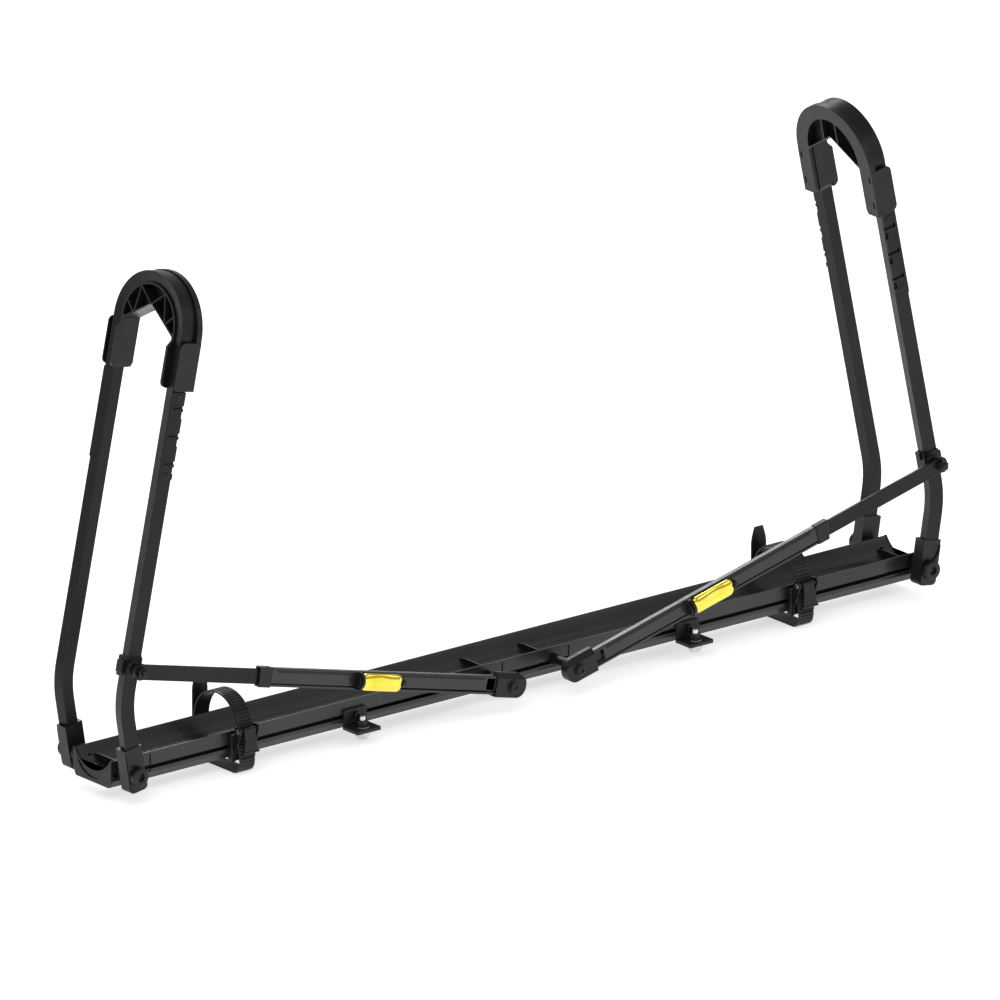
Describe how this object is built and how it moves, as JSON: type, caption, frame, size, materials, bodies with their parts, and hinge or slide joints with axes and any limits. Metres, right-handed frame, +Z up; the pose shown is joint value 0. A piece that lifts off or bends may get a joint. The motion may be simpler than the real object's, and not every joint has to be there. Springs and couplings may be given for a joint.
{
  "type": "hitch mounted bike rack",
  "caption": "Wheel tray of a hitch bike rack with folding hoop arms, sliding saddles, ratchet struts and wheel straps.",
  "frame": {"origin": "centre of the wheel tray's flat underside", "axes": "+X along the tray, -Y is the side of the struts and buckles, +Z up"},
  "size_m": [1.37, 0.1859, 0.6926],
  "materials": {
    "anodised_black": "black anodised extrusion, satin",
    "paint_black": "black powder coat, fine texture",
    "plastic_black": "black glass filled plastic",
    "strap_black": "flexible black strap plastic",
    "bolt_black": "black oxide",
    "bolt_bright": "bright steel",
    "bracket_black": "dark grey coat",
    "zinc": "zinc plated",
    "gold": "polished gold tone"
  },
  "bodies": {
    "root": {"beam_bracket_left": "bracket_black", "beam_bracket_right": "bracket_black", "bracket_bolts": "bolt_black", "buckle_frame_left": "plastic_black", "buckle_frame_right": "plastic_black", "buckle_pins": "bolt_bright", "clamp_bolts": "zinc", "clamp_nuts": "bolt_black", "clamp_washers": "zinc", "end_cap_left": "plastic_black", "end_cap_right": "plastic_black", "pivot_bolts_left": "bolt_black", "pivot_bolts_right": "bolt_black", "pivot_spacers_left": "paint_black", "pivot_spacers_right": "paint_black", "post_bolts": "bolt_black", "post_spacers": "paint_black", "strap_base_left": "plastic_black", "strap_base_right": "plastic_black", "strap_left": "strap_black", "strap_right": "strap_black", "tray": "anodised_black", "tray_bulkheads": "plastic_black"},
    "buckle_left": {"buckle_lever_left": "plastic_black"},
    "buckle_right": {"buckle_lever_right": "plastic_black"},
    "arm_left": {"hoop_left": "paint_black", "index_strips_left": "paint_black", "knee_clamp_left": "paint_black", "knuckle_back_left": "plastic_black", "knuckle_front_left": "plastic_black", "strip_screws_left": "bolt_black"},
    "arm_right": {"hoop_right": "paint_black", "index_strips_right": "paint_black", "knee_clamp_right": "paint_black", "knuckle_back_right": "plastic_black", "knuckle_front_right": "plastic_black", "strip_screws_right": "bolt_black"},
    "bar_left": {"knee_bolt_left": "bolt_black", "strut_bar_left": "paint_black"},
    "bar_right": {"knee_bolt_right": "bolt_black", "strut_bar_right": "paint_black"},
    "strut_left": {"latch_housing_left": "plastic_black", "rack_strip_left": "bolt_black", "strut_cap_left": "plastic_black", "strut_channel_left": "anodised_black", "strut_collar_left": "plastic_black"},
    "strut_right": {"latch_housing_right": "plastic_black", "rack_strip_right": "bolt_black", "strut_cap_right": "plastic_black", "strut_channel_right": "anodised_black", "strut_collar_right": "plastic_black"},
    "latch_left": {"latch_paddle_left": "gold"},
    "latch_right": {"latch_paddle_right": "gold"},
    "saddle_left": {"saddle_left": "plastic_black"},
    "saddle_right": {"saddle_right": "plastic_black"}
  },
  "joints": [
    {"name": "arm_fold_left", "type": "hinge", "parent": "root", "child": "arm_left", "pos_m": [-0.66, 0, 0.0232], "axis": [0, 1, 0], "range_deg": [0, 77]},
    {"name": "saddle_slide_left", "type": "slide", "parent": "arm_left", "child": "saddle_left", "axis": [0.2088, 0, 0.978], "range_m": [-0.0734, 0]},
    {"name": "strut_swing_left", "type": "hinge", "parent": "root", "child": "strut_left", "pos_m": [-0.0553, -0.0875, 0.0208], "axis": [0, 1, 0], "range_deg": [-8.9, 0]},
    {"name": "bar_slide_left", "type": "slide", "parent": "strut_left", "child": "bar_left", "axis": [-0.9712, 0, 0.2383], "range_m": [-0.165, 0]},
    {"name": "latch_press_left", "type": "hinge", "parent": "strut_left", "child": "latch_left", "pos_m": [-0.27625, -0.0955, 0.07501], "axis": [0.9712, 0, -0.2383], "range_deg": [0, 12], "stiffness_Nm_per_rad": 0.4, "springref_deg": -17.19},
    {"name": "buckle_open_left", "type": "hinge", "parent": "root", "child": "buckle_left", "pos_m": [-0.466, -0.0558, 0.0402], "axis": [-1, 0, 0], "range_deg": [0, 60], "stiffness_Nm_per_rad": 0.05, "springref_deg": -17.19},
    {"name": "arm_fold_right", "type": "hinge", "parent": "root", "child": "arm_right", "pos_m": [0.66, 0, 0.0232], "axis": [0, -1, 0], "range_deg": [0, 77]},
    {"name": "saddle_slide_right", "type": "slide", "parent": "arm_right", "child": "saddle_right", "axis": [-0.2088, 0, 0.978], "range_m": [-0.0734, 0]},
    {"name": "strut_swing_right", "type": "hinge", "parent": "root", "child": "strut_right", "pos_m": [0.0553, -0.0875, 0.0208], "axis": [0, -1, 0], "range_deg": [-8.9, 0]},
    {"name": "bar_slide_right", "type": "slide", "parent": "strut_right", "child": "bar_right", "axis": [0.9712, 0, 0.2383], "range_m": [-0.165, 0]},
    {"name": "latch_press_right", "type": "hinge", "parent": "strut_right", "child": "latch_right", "pos_m": [0.27625, -0.0955, 0.07501], "axis": [0.9712, 0, 0.2383], "range_deg": [0, 12], "stiffness_Nm_per_rad": 0.4, "springref_deg": -17.19},
    {"name": "buckle_open_right", "type": "hinge", "parent": "root", "child": "buckle_right", "pos_m": [0.466, -0.0558, 0.0402], "axis": [-1, 0, 0], "range_deg": [0, 60], "stiffness_Nm_per_rad": 0.05, "springref_deg": -17.19}
  ],
  "couplings": [
    {"joint": "strut_swing_left", "follows": "arm_fold_left", "ratio": -0.11312},
    {"joint": "bar_slide_left", "follows": "arm_fold_left", "m_per_rad": -0.12221},
    {"joint": "strut_swing_right", "follows": "arm_fold_right", "ratio": -0.11312},
    {"joint": "bar_slide_right", "follows": "arm_fold_right", "m_per_rad": -0.12221}
  ]
}
